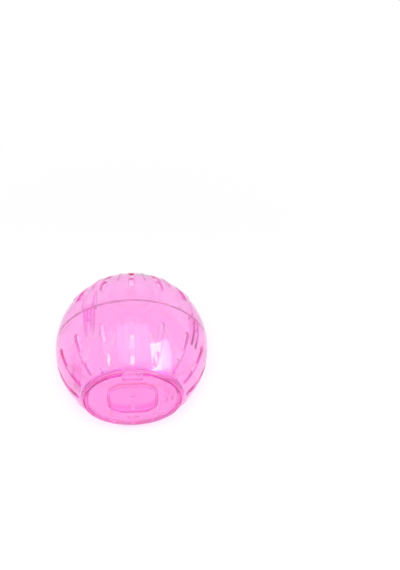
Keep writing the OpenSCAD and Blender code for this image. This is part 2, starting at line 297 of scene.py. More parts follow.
class BallSettings(PropertyGroup):
    """All settings of the ball and its stage."""
    shell: PointerProperty(type=ShellSettings)
    slots: PointerProperty(type=SlotSettings)
    clasps: PointerProperty(type=ClaspSettings)
    doorway: PointerProperty(type=DoorwaySettings)
    door: PointerProperty(type=DoorSettings)
    rosette: PointerProperty(type=RosetteSettings)
    plastic: PointerProperty(type=PlasticSettings)
    stage: PointerProperty(type=StageSettings)


def add_node(tree, kind, values=None, links=None, **settings):
    """Adds a node with its settings, the values of its sockets and the links that feed it.

    A link comes from a socket, or from the first socket of a node.
    """
    node = tree.nodes.new(kind)
    for name, value in settings.items():
        setattr(node, name, value)
    for name, value in (values or {}).items():
        node.inputs[name].default_value = value
    for name, source in (links or {}).items():
        socket = source.outputs[0] if isinstance(source, Node) else source
        tree.links.new(socket, node.inputs[name])
    return node


def empty_material(name):
    """A material with an empty node tree."""
    material = bpy.data.materials.new(name)
    material.use_nodes = True
    material.node_tree.nodes.clear()
    return material


def round_points(middle, radius, start, end, steps):
    """Points on a circle about a middle, from one angle to another."""
    angles = [start + (end - start) * i / steps for i in range(steps + 1)]
    return [Vector((middle[0] + radius * cos(a), middle[1] + radius * sin(a))) for a in angles]


def rounded(corners, steps=FILLET_STEPS):
    """The points of an open outline, given as (x, y, radius of the corner)."""
    points = []
    for i, (x, y, radius) in enumerate(corners):
        corner = Vector((x, y))
        if not radius:
            points.append(corner)
            continue
        before = (Vector(corners[i - 1][:2]) - corner).normalized()
        after = (Vector(corners[(i + 1) % len(corners)][:2]) - corner).normalized()
        half = before.angle(after) / 2
        middle = corner + (before + after).normalized() * radius / sin(half)
        start = corner + before * radius / tan(half) - middle
        end = corner + after * radius / tan(half) - middle
        first = atan2(start.y, start.x)
        turn = (atan2(end.y, end.x) - first + pi) % tau - pi
        points += round_points(middle, radius, first, first + turn, steps)
    return points


def sharp(points):
    """Section points as the corners of an outline, left unrounded."""
    return [(x, y, 0) for x, y in points]


def box_section(near, far, low, high):
    """The corners of a section with four straight sides."""
    return [Vector(corner) for corner in ((near, low), (far, low), (far, high), (near, high))]


def on_sphere(radius, latitude):
    """A point in a section of a sphere, at a latitude."""
    return Vector((radius * cos(latitude), radius * sin(latitude)))


def level(radius, height):
    """How far from the axis a sphere's surface lies at a height, or the height at a distance from it."""
    return sqrt(radius * radius - height * height)


def height_to_latitude(radius, height):
    """The latitude at which a sphere's surface reaches a height."""
    return asin(height / radius)


def meridian(radius, start, end):
    """Points in a section along a sphere, from one latitude to another."""
    steps = max(1, round(abs(end - start) * radius / FACET))
    return round_points((0, 0), radius, start, end, steps)


def run(radius, low, high):
    """Corners along a sphere's section, from one height to another."""
    return sharp(meridian(radius, height_to_latitude(radius, low), height_to_latitude(radius, high)))


def turns(steps):
    """Azimuths all round, in even steps."""
    return [tau * i / steps for i in range(steps + 1)]


def circle(radius, height, azimuths):
    """Points round the pole's axis at a height, the last azimuth being the first again."""
    return [Vector((radius * sin(a), radius * cos(a), height)) for a in azimuths[:-1]]


def stadium(length, width, side_steps, round_steps=8):
    """Points round a long hole with round ends, which lies along Y about the origin."""
    reach, radius = (length - width) / 2, width / 2
    points = []
    for side in (1, -1):
        points += [(side * radius, side * reach * (2 * i / side_steps - 1)) for i in range(side_steps)]
        points += [(side * radius * cos(a), side * (reach + radius * sin(a)))
                   for a in (pi * i / round_steps for i in range(round_steps))]
    return points


def round_square(width, corner, steps=10):
    """Points round a square with round corners."""
    reach = width / 2 - corner
    points = []
    for quarter, (x, y) in enumerate(((1, 1), (-1, 1), (-1, -1), (1, -1))):
        start, end = quarter * pi / 2, (quarter + 1) * pi / 2
        points += [tuple(p) for p in round_points((x * reach, y * reach), corner, start, end, steps)]
    return points


def square_rows(width, corner, profile):
    """Rows of points down a wall round a square; the profile gives how far out and how high each lies."""
    return [[Vector((x, y, z)) for x, y in round_square(width + 2 * out, corner + out)] for out, z in profile]


def tab_outline(width, root, tip, corner, steps=6):
    """Points round a tab with a straight root and with round corners at its tip."""
    side, reach = width / 2 - corner, tip - corner
    arcs = (round_points((side, reach), corner, 0, pi / 2, steps)
            + round_points((-side, reach), corner, pi / 2, pi, steps))
    return [(width / 2, root)] + [tuple(p) for p in arcs] + [(-width / 2, root)]


def at(radius, latitude, azimuth):
    """A point on a sphere about the origin, with its pole at +Z."""
    out = radius * cos(latitude)
    return Vector((out * sin(azimuth), out * cos(azimuth), radius * sin(latitude)))


def over_meridian(latitude, right, up, radius):
    """A point on a sphere, to the right and towards the pole of a latitude on the first meridian."""
    cosine, sine = cos(latitude), sin(latitude)
    out = sqrt(radius * radius - right * right - up * up)
    return Vector((right, out * cosine - up * sine, out * sine + up * cosine))


def seen_from_pole(point):
    """A point's place on the plane across the pole's axis."""
    return point.x, point.y


def inside_loop(point, loop):
    """True where a flat point lies inside a loop of flat points."""
    x, y = point
    inside = False
    for (ax, ay), (bx, by) in zip(loop, loop[1:] + loop[:1]):
        if (ay > y) != (by > y) and x < ax + (y - ay) * (bx - ax) / (by - ay):
            inside = not inside
    return inside


def rework(mesh, *changes):
    """Makes changes to a mesh, each of them a function of its editable shape."""
    shape = bmesh.new()
    shape.from_mesh(mesh)
    for change in changes:
        change(shape)
    shape.to_mesh(mesh)
    shape.free()


def weld(shape):
    """Joins a shape's doubled points and drops the faces and edges that this leaves without size."""
    bmesh.ops.remove_doubles(shape, verts=shape.verts, dist=JOIN)
    bmesh.ops.dissolve_degenerate(shape, edges=shape.edges, dist=JOIN)


def face_outwards(shape):
    """Turns a closed shape's faces outwards."""
    bmesh.ops.recalc_face_normals(shape, faces=shape.faces)


def split_large_faces(shape):
    """Cuts faces of more than four corners into triangles."""
    bmesh.ops.triangulate(shape, faces=[face for face in shape.faces if len(face.verts) > 4])


class Mould:
    """Gathers the points and faces of a piece, with the pole at +Z."""

    def __init__(self):
        """Starts with no points and no faces."""
        self.points = []
        self.faces = []

    def skin(self, rows, closed=False):
        """Lays quads between rows of points that are equally long."""
        start, width = len(self.points), len(rows[0])
        for row in rows:
            self.points += row
        for r in range(len(rows) - 1):
            for i in range(width if closed else width - 1):
                a, b = start + r * width + i, start + r * width + (i + 1) % width
                self.faces.append((a, b, b + width, a + width))

    def cap(self, loop):
        """Closes a flat loop of points with one face."""
        start = len(self.points)
        self.points += loop
        self.faces.append(tuple(range(start, start + len(loop))))

    def solid(self, rows):
        """Skins closed rows of points and closes both ends."""
        self.skin(rows, closed=True)
        self.cap(rows[0])
        self.cap(rows[-1])

    def sheet(self, outline, holes, inner, flat):
        """Fills an outline, less its holes, with triangles over the inner points.

        flat gives a point's place on the plane in which the triangles are laid out.
        """
        loops = [outline] + holes
        points = [p for loop in loops for p in loop] + inner
        plan = [Vector(flat(p)) / MM for p in points]
        edges, plans = [], []
        for loop in loops:
            first, count = len(edges), len(loop)
            edges += [(first + i, first + (i + 1) % count) for i in range(count)]
            plans.append([tuple(p) for p in plan[first:first + count]])
        _, _, triangles, sources, _, _ = delaunay_2d_cdt(plan, edges, [], 1, JOIN / MM, True)
        start = len(self.points)
        self.points += points
        for triangle in triangles:
            corners = [sources[i][0] for i in triangle]
            middle = sum((plan[i] for i in corners), Vector((0, 0))) / 3
            if inside_loop(middle, plans[0]) and not any(inside_loop(middle, hole) for hole in plans[1:]):
                self.faces.append(tuple(start + i for i in corners))

    def turned(self, section, azimuths):
        """Turns a section about the pole's axis through the azimuths."""
        self.skin([[Vector((x * sin(a), x * cos(a), y)) for x, y in section] for a in azimuths])

    def slab(self, section, left, right, steps, curved):
        """The part of a turned section between two planes beside the axis, or a straight bar."""
        rows = []
        for i in range(steps + 1):
            x = left + (right - left) * i / steps
            rows.append([Vector((x, level(out, x) if curved else out, height)) for out, height in section])
        self.solid(rows)

    def prism(self, outlines):
        """Skins flat outlines, given with their heights, and closes both ends."""
        self.solid([[Vector((x, y, z)) for x, y in outline] for outline, z in outlines])

    def piece(self, name, closed=True):
        """Makes the object, with its doubles joined and, where it is closed, its faces outwards."""
        mesh = bpy.data.meshes.new(name)
        mesh.from_pydata(self.points, [], self.faces)
        rework(mesh, *((weld, face_outwards) if closed else (weld,)))
        piece = bpy.data.objects.new(name, mesh)
        bpy.context.scene.collection.objects.link(piece)
        return piece


def slabs(name, section, width, middles=(0,), steps=SLAB_STEPS, curved=True):
    """Slabs of a turned section beside the first meridian, or straight bars, as one object."""
    mould = Mould()
    for middle in middles:
        mould.slab(section, middle - width / 2, middle + width / 2, steps, curved)
    return mould.piece(name)


def tab_prism(name, width, root, tip, corner, low, high, edge):
    """A flat tab with round corners and rounded edges, along +Y."""
    far = tip - root
    profile = rounded([(-far, low, 0), (0, low, edge), (0, high, edge), (-far, high, 0)])[1:-1]
    mould = Mould()
    mould.prism([(tab_outline(width + 2 * out, root, tip + out, corner + out), z) for out, z in profile])
    return mould.piece(name)


def settle(piece):
    """Turns a piece's modifiers into its mesh."""
    graph = bpy.context.evaluated_depsgraph_get()
    mesh = bpy.data.meshes.new_from_object(piece.evaluated_get(graph))
    piece.modifiers.clear()
    piece.data = mesh


def combine(piece, tool, operation):
    """Joins a tool's solid to the piece, or cuts it out of the piece."""
    modifier = piece.modifiers.new(operation, "BOOLEAN")
    modifier.object = tool
    modifier.operation = operation
    modifier.solver = "MANIFOLD"
    settle(piece)
    bpy.data.objects.remove(tool)


def repeat_tree():
    """A node tree that turns a copy of a shape to every share of a circle about the pole's axis."""
    tree = bpy.data.node_groups.new("round_the_pole", "GeometryNodeTree")
    sockets = (("Geometry", "NodeSocketGeometry"), ("Copies", "NodeSocketInt"), ("First", "NodeSocketFloat"),
               ("Join within", "NodeSocketFloat"), ("Material", "NodeSocketMaterial"))
    for name, kind in sockets:
        tree.interface.new_socket(name=name, in_out="INPUT", socket_type=kind)
    tree.interface.new_socket(name="Geometry", in_out="OUTPUT", socket_type="NodeSocketGeometry")
    given = add_node(tree, "NodeGroupInput").outputs
    points = add_node(tree, "GeometryNodePoints", links={"Count": given["Copies"]})
    step = add_node(tree, "ShaderNodeMath", {0: tau}, {1: given["Copies"]}, operation="DIVIDE")
    index = add_node(tree, "GeometryNodeInputIndex")
    turn = add_node(tree, "ShaderNodeMath", links={
        0: index, 1: step, 2: given["First"]}, operation="MULTIPLY_ADD")
    clockwise = add_node(tree, "ShaderNodeMath", {1: -1.0}, {0: turn}, operation="MULTIPLY")
    rotation = add_node(tree, "ShaderNodeCombineXYZ", links={"Z": clockwise})
    copies = add_node(tree, "GeometryNodeInstanceOnPoints", links={
        "Points": points, "Instance": given["Geometry"], "Rotation": rotation})
    real = add_node(tree, "GeometryNodeRealizeInstances", links={"Geometry": copies})
    joined = add_node(tree, "GeometryNodeMergeByDistance", links={
        "Geometry": real, "Distance": given["Join within"]})
    dressed = add_node(tree, "GeometryNodeSetMaterial", links={
        "Geometry": joined, "Material": given["Material"]})
    add_node(tree, "NodeGroupOutput", links={"Geometry": dressed})
    return tree


def repeated(piece, copies, first=0.0, material=None):
    """Turns a piece into equal copies of it round the pole's axis, joined where they meet."""
    tree = bpy.data.node_groups.get("round_the_pole") or repeat_tree()
    modifier = piece.modifiers.new("round_the_pole", "NODES")
    modifier.node_group = tree
    values = {"Copies": copies, "First": first, "Join within": JOIN, "Material": material}
    for item in tree.interface.items_tree:
        if item.in_out == "INPUT" and values.get(item.name) is not None:
            modifier[item.identifier] = values[item.name]
    settle(piece)
    return piece


def at_clasps(part, ball):
    """Turns a part into equal copies of it at the clasps, which lie midway between slots."""
    return repeated(part, ball.clasps.count, -1.5 * tau / ball.slots.count)


def groove_latitudes(slots, doorway):
    """The latitudes of the groove and of its two openings, each as (start, end)."""
    rim_level = doorway.diameter / 2 + 2 * doorway.rim_radius
    start = height_to_latitude(BALL_R, slots.from_seam)
    end = acos(rim_level / BALL_R) - height_to_latitude(BALL_R, slots.to_rim)
    margin = height_to_latitude(BALL_R, slots.vent_margin)
    bridge = start + slots.bridge_share * (end - start)
    half = height_to_latitude(BALL_R, slots.bridge / 2)
    return (start, end), (start + margin, bridge - half), (bridge + half, end - margin)


def slot_rows(span, width, profile):
    """Rows of points down the side of a slot; the profile gives how far out and how deep each lies."""
    middle = (span[0] + span[1]) / 2
    length = 2 * BALL_R * sin((span[1] - span[0]) / 2)
    sides = round((length - width) / FACET)
    return [[over_meridian(middle, u, v, BALL_R - depth)
             for u, v in stadium(length + 2 * out, width + 2 * out, sides)] for out, depth in profile]


def share_outline(radius, low, high, azimuths):
    """Outline of one slot's share of a sphere, between two latitudes."""
    rises = round((high - low) * BALL_R / FACET)
    climb = [low + (high - low) * i / rises for i in range(rises + 1)]
    left, right = azimuths[0], azimuths[-1]
    return ([at(radius, low, a) for a in azimuths[:-1]] + [at(radius, t, right) for t in climb[:-1]]
            + [at(radius, high, a) for a in azimuths[:0:-1]] + [at(radius, t, left) for t in climb[:0:-1]])


def grid_inside(radius, low, high, azimuths, loops):
    """Points spread over one slot's share of a sphere, clear of its loops."""
    lines = np.array([p for loop in loops for p in loop])
    rows, span = round((high - low) * radius / FACET), azimuths[-1] - azimuths[0]
    points = []
    for i in range(1, rows):
        latitude = low + (high - low) * i / rows
        columns = max(2, round(span * radius * cos(latitude) / FACET))
        for j in range(columns + 1):
            azimuth = azimuths[0] + span * (j + (i % 2) / 2) / columns
            point = at(radius, latitude, azimuth)
            if azimuth < azimuths[-1] and np.linalg.norm(lines - point, axis=1).min() > FACET / 2:
                points.append(point)
    return points


def slotted_share(mould, ball, azimuths):
    """One slot's share of a shell's wall, with the groove and the two openings in it."""
    slots, wall = ball.slots, ball.shell.wall
    groove, *vents = groove_latitudes(slots, ball.doorway)
    far, depth, edge = slots.groove_width, slots.groove_depth, slots.vent_round
    side = rounded([(far, 0, 0), (0, 0, slots.groove_round), (0, depth, slots.floor_round), (-far, depth, 0)])
    groove_rows = slot_rows(groove, far, side[1:-1])
    mould.skin(groove_rows, closed=True)
    bore = rounded([(far, depth, 0), (0, depth, edge), (0, wall, edge), (far, wall, 0)])
    vent_rows = [slot_rows(span, slots.vent_width, bore[1:-1]) for span in vents]
    for rows in vent_rows:
        mould.skin(rows, closed=True)

    middle = (groove[0] + groove[1]) / 2
    up = Vector((0, -sin(middle), cos(middle)))

    def flat(point):
        """A point's place on the plane across the groove's middle."""
        return point.x, point.dot(up)

    def face(radius, span, holes):
        """Lays the outer or the inner face, round its holes."""
        outline = share_outline(radius, *span, azimuths)
        mould.sheet(outline, holes, grid_inside(radius, *span, azimuths, [outline] + holes), flat)

    face(BALL_R, OUTER_SPAN, [groove_rows[0]])
    mould.sheet(groove_rows[-1], [rows[0] for rows in vent_rows], [], flat)
    face(BALL_R - wall, INNER_SPAN, [rows[-1] for rows in vent_rows])


def shell_wall(name, ball, sections, material):
    """A half shell's wall: one slot's share, with the given sections turned through it, all repeated."""
    half = pi / ball.slots.count
    azimuths = [half * (2 * i / SHARE_STEPS - 1) for i in range(SHARE_STEPS + 1)]
    mould = Mould()
    slotted_share(mould, ball, azimuths)
    for section in sections:
        mould.turned(section, azimuths)
    piece = repeated(mould.piece(name, closed=False), ball.slots.count, material=material)
    rework(piece.data, face_outwards)
    return piece


def rim_section(shell, corners):
    """Section of a rim at the seam, from the outer wall round the given corners to the inner one."""
    start = on_sphere(BALL_R, OUTER_SPAN[0])
    end = on_sphere(BALL_R - shell.wall, INNER_SPAN[0])
    edge = (BALL_R, shell.seam_gap / 2, shell.rim_round)
    return rounded(sharp([start]) + [edge] + corners + sharp([end]))


def door_rim_section(shell):
    """Section of the door shell's rim, with the lip that centres the closed half."""
    inside, edge = BALL_R - shell.wall, shell.edge_round
    lip, low = inside + shell.lip_thickness, -shell.lip_height
    return rim_section(shell, [(lip, shell.seam_gap / 2, edge), (lip, low, edge),
                               (level(inside, low), low, edge), (inside, 0, 0)])


def closed_rim_section(shell):
    """Section of the closed shell's rim, with the rebate that takes the lip."""
    inside, edge = BALL_R - shell.wall, shell.edge_round
    back, top = inside + shell.lip_thickness + shell.lip_gap, shell.lip_height + shell.lip_gap
    return rim_section(shell, [(back, shell.seam_gap / 2, edge), (back, top, edge),
                               (level(inside, top), top, edge / 2)])


def collar_end(shell, doorway):
    """How high the collar's inner end lies over the ball's centre."""
    return level(BALL_R - shell.wall, doorway.diameter / 2 + doorway.collar) - doorway.collar_drop


def doorway_section(shell, doorway):
    """Section of the doorway: the ball's face, the rounded rim, the ledge, the collar and the inner wall."""
    inside, way, edge = BALL_R - shell.wall, doorway.diameter / 2, shell.edge_round
    out = way + doorway.rim_radius
    centre = Vector((out, level(BALL_R, out)))
    collar, low = way + doorway.collar, collar_end(shell, doorway)
    ledge, seat = low + doorway.seat_thickness, way - doorway.seat_width
    foot = acos((way + 2 * doorway.rim_radius) / BALL_R)
    face = meridian(BALL_R, OUTER_SPAN[1], foot - edge / BALL_R)
    bead = round_points(centre, doorway.rim_radius, BEAD_START, pi, BEAD_STEPS)
    return face + bead + rounded([
        (way, centre.y, 0), (way, ledge, edge), (seat, ledge, edge), (seat, low, edge), (collar, low, edge),
        (collar, level(inside, collar), edge)] + sharp([on_sphere(inside, INNER_SPAN[1])]))[1:]


def pole_sections(shell, rosette):
    """Sections of the closed pole: the outer face with its boss and nub, and the inner face."""
    edge, boss, nub = shell.edge_round, rosette.boss_radius, rosette.nub_radius
    face = meridian(BALL_R, OUTER_SPAN[1], acos((boss + 2 * edge) / BALL_R))
    top = BALL_R + rosette.boss_height
    tip = top + rosette.nub_height
    pole = rounded(sharp(face[-1:]) + [
        (boss, level(BALL_R, boss), edge), (boss, top, edge), (nub, top, edge),
        (nub, tip, edge), (0, tip, 0)])
    return face + pole[1:], meridian(BALL_R - shell.wall, INNER_SPAN[1], pi / 2)


def tongue_section(shell, clasps):
    """Section of a tongue: rooted in its own shell, and clear of the other one past the seam."""
    inside, edge = BALL_R - shell.wall, 2 * shell.edge_round
    out = inside - clasps.gap
    back = out - clasps.tongue_thickness
    root, step, tip = inside + shell.wall / 4, edge - shell.lip_height, -clasps.tongue_reach
    return rounded(run(back, tip + 2 * edge, clasps.tongue_root) + run(root, clasps.tongue_root, step)
                   + run(out, step, tip + 2 * edge)
                   + [(level(out, tip), tip, edge), (level(back, tip), tip, edge)])


def fin_section(shell, clasps):
    """Section of a tongue's fin, which runs out into the wall."""
    inside, edge = BALL_R - shell.wall, 2 * shell.edge_round
    chord = inside * cos(clasps.fin_span)
    out = inside - clasps.gap
    mid, buried = out - clasps.tongue_thickness / 2, inside + edge
    tip = clasps.fin_width - clasps.tongue_reach
    low = tip - clasps.fin_width * (mid - chord) / (out - chord)
    turn = clasps.tongue_root - edge
    return rounded([(chord, tip, edge)] + run(buried, level(buried, chord), turn) + run(mid, turn, low))


def rib_section(shell, clasps):
    """Section of a guide rib in the closed shell."""
    inside, edge = BALL_R - shell.wall, shell.edge_round
    chord, buried = inside * cos(clasps.fin_span), inside + 2 * edge
    start = shell.lip_height + shell.lip_gap + edge
    return rounded([(chord, start, edge)] + run(buried, level(buried, chord), start))


def gusset_section(shell, doorway):
    """Section of a gusset between the collar and the wall."""
    root, collar = BALL_R - shell.wall + shell.wall / 4, doorway.diameter / 2 + doorway.collar
    low, reach, edge = collar_end(shell, doorway), doorway.gusset_reach, shell.edge_round
    far, near = collar + reach, collar - shell.wall / 4
    return rounded([(near, low + edge, 0), (far, low + doorway.collar_drop - reach, edge)]
                   + run(root, level(root, far), level(root, near)))


def tab_notch(ball):
    """The notch in the doorway's rim for the latch tab, as a tool."""
    doorway, door = ball.doorway, ball.door
    way = doorway.diameter / 2
    rim = level(BALL_R, way)
    low, high = rim - door.notch_depth, rim + 2 * doorway.rim_radius
    near, far = way - 2 * doorway.collar, way + door.tab_reach + door.slit
    section = rounded([(near, low, 0), (far, low, ball.shell.edge_round), (far, high, 0), (near, high, 0)])
    return slabs("tab_notch", section, door.tab_width + 2 * door.slit, curved=False)


def hook_notch(ball):
    """The notch in the doorway's ledge for the hook, as a tool."""
    shell, doorway, door = ball.shell, ball.doorway, ball.door
    way, collar = doorway.diameter / 2, collar_end(shell, doorway)
    section = box_section(way - 2 * doorway.seat_width, way + shell.edge_round / 3,
                          collar - shell.wall, collar + doorway.seat_thickness + shell.wall)
    tool = slabs("hook_notch", section, door.hook_width + 2 * door.hook_gap)
    tool.data.transform(HALF_TURN)
    return tool


def ribbon(mould, path, rosette, closed=False):
    """Lays a raised line with rounded shoulders along a path of directions on the ball."""
    half, rise = rosette.line_width / 2, rosette.line_rise
    shoulder = 0.8 * rise
    profile = rounded([(-half, -rise, 0), (-half, rise, shoulder), (half, rise, shoulder), (half, -rise, 0)])
    rows = []
    for i, out in enumerate(path):
        ahead = path[(i + 1) % len(path)] if closed or i + 1 < len(path) else out
        behind = path[i - 1] if closed or i else out
        side = out.cross(ahead - behind).normalized()
        rows.append([out * (BALL_R + height) + side * aside for aside, height in profile])
    if closed:
        mould.skin(rows + rows[:1], closed=True)
    else:
        mould.solid(rows)


def petal_path(rosette, step):
    """Directions along a U-shaped line: up one meridian, round near the pole and down the other.

    The bend is part of a circle on the ball that touches both meridians, and spread is the angle
    between its middle and its line.
    """
    tilt, side = rosette.petal_tilt, 1.5 * step
    spread = asin(sin(tilt) * sin(side))
    turn = asin(tan(spread) / tan(tilt))
    foot = pi / 2 - acos(cos(tilt) / cos(spread))
    arm = [rosette.petal_end + (foot - rosette.petal_end) * i / ARM_STEPS for i in range(ARM_STEPS)]
    bend = []
    for i in range(BEND_STEPS + 1):
        angle = pi + turn + (pi - 2 * turn) * i / BEND_STEPS
        right, up = sin(spread) * cos(angle), -sin(spread) * sin(angle)
        bend.append(over_meridian(pi / 2 - tilt, right, up, 1.0))
    return [at(1.0, t, -side) for t in arm] + bend + [at(1.0, t, side) for t in reversed(arm)]


def petals(ball, first):
    """Every second one of the rosette's U-shaped lines, from a first azimuth on, as a tool."""
    petal = Mould()
    ribbon(petal, petal_path(ball.rosette, tau / ball.slots.count), ball.rosette)
    return repeated(petal.piece("petals"), ball.slots.count // 4, first)


def pole_rings(rosette):
    """The two raised rings round the closed pole, as a tool."""
    rings = Mould()
    for radius in (rosette.ring_radius, rosette.ring_radius + rosette.ring_step):
        path = [at(1.0, acos(radius / BALL_R), azimuth) for azimuth in turns(RING_STEPS)[:-1]]
        ribbon(rings, path, rosette, closed=True)
    return rings.piece("rings")


def door_places(ball):
    """The door's radius, and how high its parts lie over the ball's centre."""
    door, doorway = ball.door, ball.doorway
    rim, collar = level(BALL_R, doorway.diameter / 2), collar_end(ball.shell, doorway)
    face = rim + door.face_rise
    return SimpleNamespace(
        radius=doorway.diameter / 2 - door.gap, rim=rim, face=face, top=face + door.bead_height,
        under=face - door.plate, collar=collar, skirt=collar + doorway.seat_thickness + door.seat_gap)


def door_plate(door, places):
    """The door's plate with its bead and skirt, the finger recess and the pip in it."""
    edge, soft, far = door.edge_round, door.recess_round, door.recess_width
    face, under, top, skirt = places.face, places.under, places.top, places.skirt
    rim, bead, field = places.radius, places.radius - door.bead_width, places.radius - 2 * door.bead_width
    inner, floor = rim - door.skirt, face - door.recess_depth
    around = turns(DOOR_STEPS)
    mould = Mould()
    mould.turned(rounded([
        (field, face, 0), (bead, face, edge), (bead, top, door.bead_round), (rim, top, door.bead_round),
        (rim, skirt, edge), (inner, skirt, edge), (inner, under, edge), (field, under, 0)]), around)

    recess = square_rows(far, door.recess_corner, rounded([
        (far, face, 0), (0, face, soft), (0, floor, soft), (-far, floor, 0)])[1:-1])
    mould.skin(recess, closed=True)
    mould.sheet(circle(field, face, around), [recess[0]], [], seen_from_pole)
    pip, crown, pip_edge = door.pip_radius, floor + door.pip_height, edge / 2
    foot = pip + 2 * edge
    mould.turned(rounded([
        (foot, floor, 0), (pip, floor, pip_edge), (pip, crown, pip_edge), (0, crown, 0)]), turns(PIP_STEPS))
    mould.sheet(recess[-1], [circle(foot, floor, turns(PIP_STEPS))], [], seen_from_pole)

    wall, low = door.recess_wall, floor - door.plate
    back = square_rows(far + 2 * wall, door.recess_corner + wall, rounded([
        (far, under, 0), (0, under, edge), (0, low, soft), (-far, low, 0)])[1:-1])
    mould.skin(back, closed=True)
    mould.sheet(circle(field, under, around), [back[0]], [], seen_from_pole)
    mould.sheet(back[-1], [], [], seen_from_pole)
    return mould.piece("door_moulding")


def tab_slits(ball, places):
    """The two slits beside the latch tab, as a tool."""
    door = ball.door
    root, end = places.radius - door.tab_spring, places.radius + ball.doorway.collar
    aside, middle = (door.tab_width + door.slit) / 2, (root + end) / 2
    mould = Mould()
    for side in (-1, 1):
        outline = [(x + side * aside, y + middle) for x, y in stadium(end - root + door.slit, door.slit, 2)]
        mould.prism([(outline, places.skirt - door.edge_round), (outline, places.top + door.edge_round)])
    return mould.piece("slits")


def tab_bend(door, places):
    """The thin line at which the latch tab bends, as a tool."""
    root, half, edge, top = places.radius - door.tab_spring, door.bend_width / 2, door.edge_round, places.top
    deep = places.face - door.bend_depth
    section = rounded([(root - half, top, 0), (root - half, deep, edge), (root + half, deep, edge),
                       (root + half, top, 0)])
    return slabs("bend", section, door.tab_width + door.slit, curved=False)


def latch_tab(ball, places):
    """The latch tab's tip, which reaches over the doorway's rim."""
    door = ball.door
    low = places.rim - door.notch_depth + door.notch_gap
    return tab_prism("tab", door.tab_width - 2 * INSET, places.radius - door.skirt,
                     ball.doorway.diameter / 2 + door.tab_reach, door.tab_round,
                     low, low + door.tab_thickness, door.edge_round)


def hook_parts(ball, places):
    """The hook: a toe that reaches under the collar, and the stem that carries it."""
    door, inset = ball.door, ball.shell.edge_round
    toe, root = places.collar - door.hook_gap, places.radius - door.skirt
    parts = [
        tab_prism("toe", door.hook_width, root, ball.doorway.diameter / 2 + door.hook_reach, door.hook_round,
                  toe - door.hook_thickness, toe, door.edge_round),
        slabs("stem", box_section(root + inset, places.radius - inset, toe - door.hook_thickness / 2,
                                  places.skirt + 2 * door.edge_round), door.hook_width - 2 * inset)]
    for part in parts:
        part.data.transform(HALF_TURN)
    return parts


def values_of(items, name, width=3, kind=np.float32):
    """What a mesh holds under a name for each of its items, one row for each."""
    values = np.empty(len(items) * width, dtype=kind)
    items.foreach_get(name, values)
    return values.reshape(-1, width)


def true_normals(mesh, radii):
    """Gives the faces on spheres about the origin the spheres' own normals, and keeps the others'."""
    places = values_of(mesh.vertices, "co")[values_of(mesh.loops, "vertex_index", 1, np.int32)[:, 0]]
    normals = values_of(mesh.corner_normals, "vector")
    sides = values_of(mesh.polygons, "loop_total", 1, np.int32)[:, 0]
    faces = np.repeat(values_of(mesh.polygons, "normal"), sides, axis=0)
    reach = np.linalg.norm(places, axis=1)
    out = places / reach[:, None]
    facing = (faces * out).sum(axis=1)
    for radius in radii:
        true = (np.abs(reach - radius) < 2 * JOIN) & (np.abs(facing) > cos(SPHERE_ANGLE))
        normals[true] = out[true] * np.sign(facing[true])[:, None]
    mesh.normals_split_custom_set([tuple(n) for n in normals])


def finish(piece, matrix, material, radii=()):
    """Puts a piece in its place and shades it: true normals on its spheres, and even ones elsewhere."""
    mesh = piece.data
    mesh.materials.clear()
    mesh.materials.append(material)
    mesh.polygons.foreach_set("material_index", np.zeros(len(mesh.polygons), dtype=np.int32))
    mesh.transform(matrix)
    if matrix.determinant() < 0:
        mesh.flip_normals()
    rework(mesh, split_large_faces)
    mesh.shade_smooth()
    mesh.set_sharp_from_angle(angle=SHARP_ANGLE)
    piece.modifiers.new("even_shading", "WEIGHTED_NORMAL").keep_sharp = True
    settle(piece)
    true_normals(piece.data, radii)


def sphere_radii(ball):
    """Radii of the spheres on which a shell's outer faces, groove floors and inner faces lie."""
    return BALL_R, BALL_R - ball.slots.groove_depth, BALL_R - ball.shell.wall


def stand_for(piece, node):
    """Declares what a finished piece is to the frame."""
    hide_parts(node)
    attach(piece, node)


def moulded_polystyrene(name, settings, tint):
    """Clear polystyrene dyed pink in the mass, moulded in a polished tool.

    It mirrors a little at every face, bends what is seen through it, and takes green light first,
    so that the colour deepens where a rib, a rim or two walls lie behind each other.
    """
    material = empty_material(name)
    tree = material.node_tree
    place = add_node(tree, "ShaderNodeTexCoord").outputs["Object"]
    waves = add_node(tree, "ShaderNodeTexNoise", {
        "Scale": 1 / WAVE_WIDTH, "Detail": 1.0, "Roughness": 0.4}, {"Vector": place})
    bump = add_node(tree, "ShaderNodeBump", {
        "Strength": 0.25, "Distance": WAVE_DEPTH}, {"Height": waves})
    patches = add_node(tree, "ShaderNodeTexNoise", {
        "Scale": 1 / PATCH_WIDTH, "Detail": 4.0}, {"Vector": place})
    rough = add_node(tree, "ShaderNodeMapRange", {
        "To Min": settings.roughness * PATCH_LEAST, "To Max": settings.roughness * PATCH_MOST}, {
        "Value": patches})
    body = add_node(tree, "ShaderNodeBsdfPrincipled", {
        "Base Color": (*tint, 1), "IOR": settings.ior, "Transmission Weight": settings.clear}, {
        "Roughness": rough, "Normal": bump})
    lamp_side = add_node(tree, "ShaderNodeBsdfTransparent", {"Color": (*settings.lamp_tint, 1)})
    rays = add_node(tree, "ShaderNodeLightPath")
    surface = add_node(tree, "ShaderNodeMixShader", links={
        0: rays.outputs["Is Shadow Ray"], 1: body, 2: lamp_side})
    taken = (settings.takes_red, settings.takes_green, settings.takes_blue)
    density = [-log(1 - part) / MM for part in taken]
    most = max(density)
    dye = add_node(tree, "ShaderNodeVolumeAbsorption", {
        "Color": tuple(1 - part / most for part in density) + (1,), "Density": most})
    add_node(tree, "ShaderNodeOutputMaterial", links={
        "Surface": surface, "Volume": dye})
    return material


